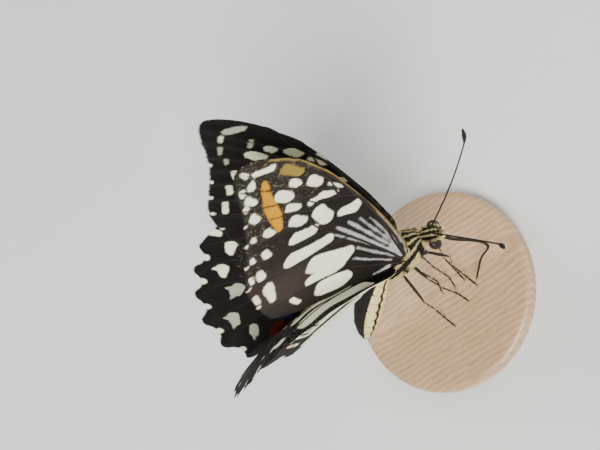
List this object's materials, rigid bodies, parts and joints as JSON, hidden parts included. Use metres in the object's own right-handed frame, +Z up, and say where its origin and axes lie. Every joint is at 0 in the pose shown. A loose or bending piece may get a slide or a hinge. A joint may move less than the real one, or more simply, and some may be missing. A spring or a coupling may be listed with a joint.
{
  "type": "lime swallowtail butterfly model",
  "caption": "Life-size swallowtail butterfly standing with raised, black and cream chequered wings on a small round wooden base.",
  "frame": {"origin": "middle of the underside of the base", "axes": "+Z up out of the base, +X the way the insect faces, +Y its left"},
  "size_m": [0.06, 0.034, 0.0655],
  "materials": {
    "scales_dark": "fine dark brown-black scales, dull with a faint sheen",
    "scales_cream": "cream scales and short hair, matte",
    "wing_scales": "black wing membrane under fine scales, chequered with cream",
    "eye_gloss": "faceted dark brown eye with a soft gloss",
    "base_wood": "pale turned wood, satin"
  },
  "bodies": {
    "root": {"head": "scales_dark", "thorax": "scales_cream", "abdomen": "scales_cream", "eye_left": "eye_gloss", "eye_right": "eye_gloss", "antenna_left": "scales_dark", "antenna_right": "scales_dark", "proboscis": "scales_dark", "forewing_left": "wing_scales", "forewing_right": "wing_scales", "hindwing_left": "wing_scales", "hindwing_right": "wing_scales", "leg_fore_left": "scales_dark", "leg_fore_right": "scales_dark", "leg_mid_left": "scales_dark", "leg_mid_right": "scales_dark", "leg_hind_left": "scales_dark", "leg_hind_right": "scales_dark", "stand_base": "base_wood"}
  },
  "joints": []
}
